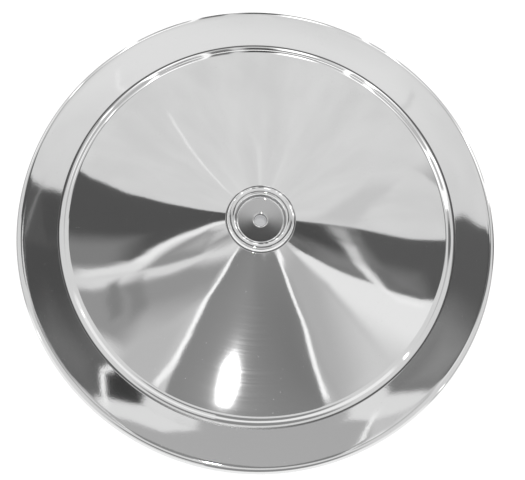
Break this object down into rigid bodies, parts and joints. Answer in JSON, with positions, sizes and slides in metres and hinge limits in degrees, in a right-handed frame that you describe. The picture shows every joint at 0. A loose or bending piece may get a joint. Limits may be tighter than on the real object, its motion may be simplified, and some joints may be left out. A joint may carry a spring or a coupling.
{
  "type": "air cleaner lid",
  "caption": "Round chrome-plated steel lid of an engine air cleaner, with a turned-down lip, flat seat, rounded step, shallow cone, and a wing-nut cup round the stud hole.",
  "frame": {"origin": "on the stud hole's axis, at the height of the lip's cut edge, which the lid rests on", "axes": "+Z along the stud hole, out of the lid's upper side; the lid is a body of revolution, so X and Y are free"},
  "size_m": [0.3556, 0.3556, 0.0339],
  "materials": {
    "chrome": "bright chrome plate, polished"
  },
  "bodies": {
    "root": {"lid": "chrome"}
  },
  "joints": []
}
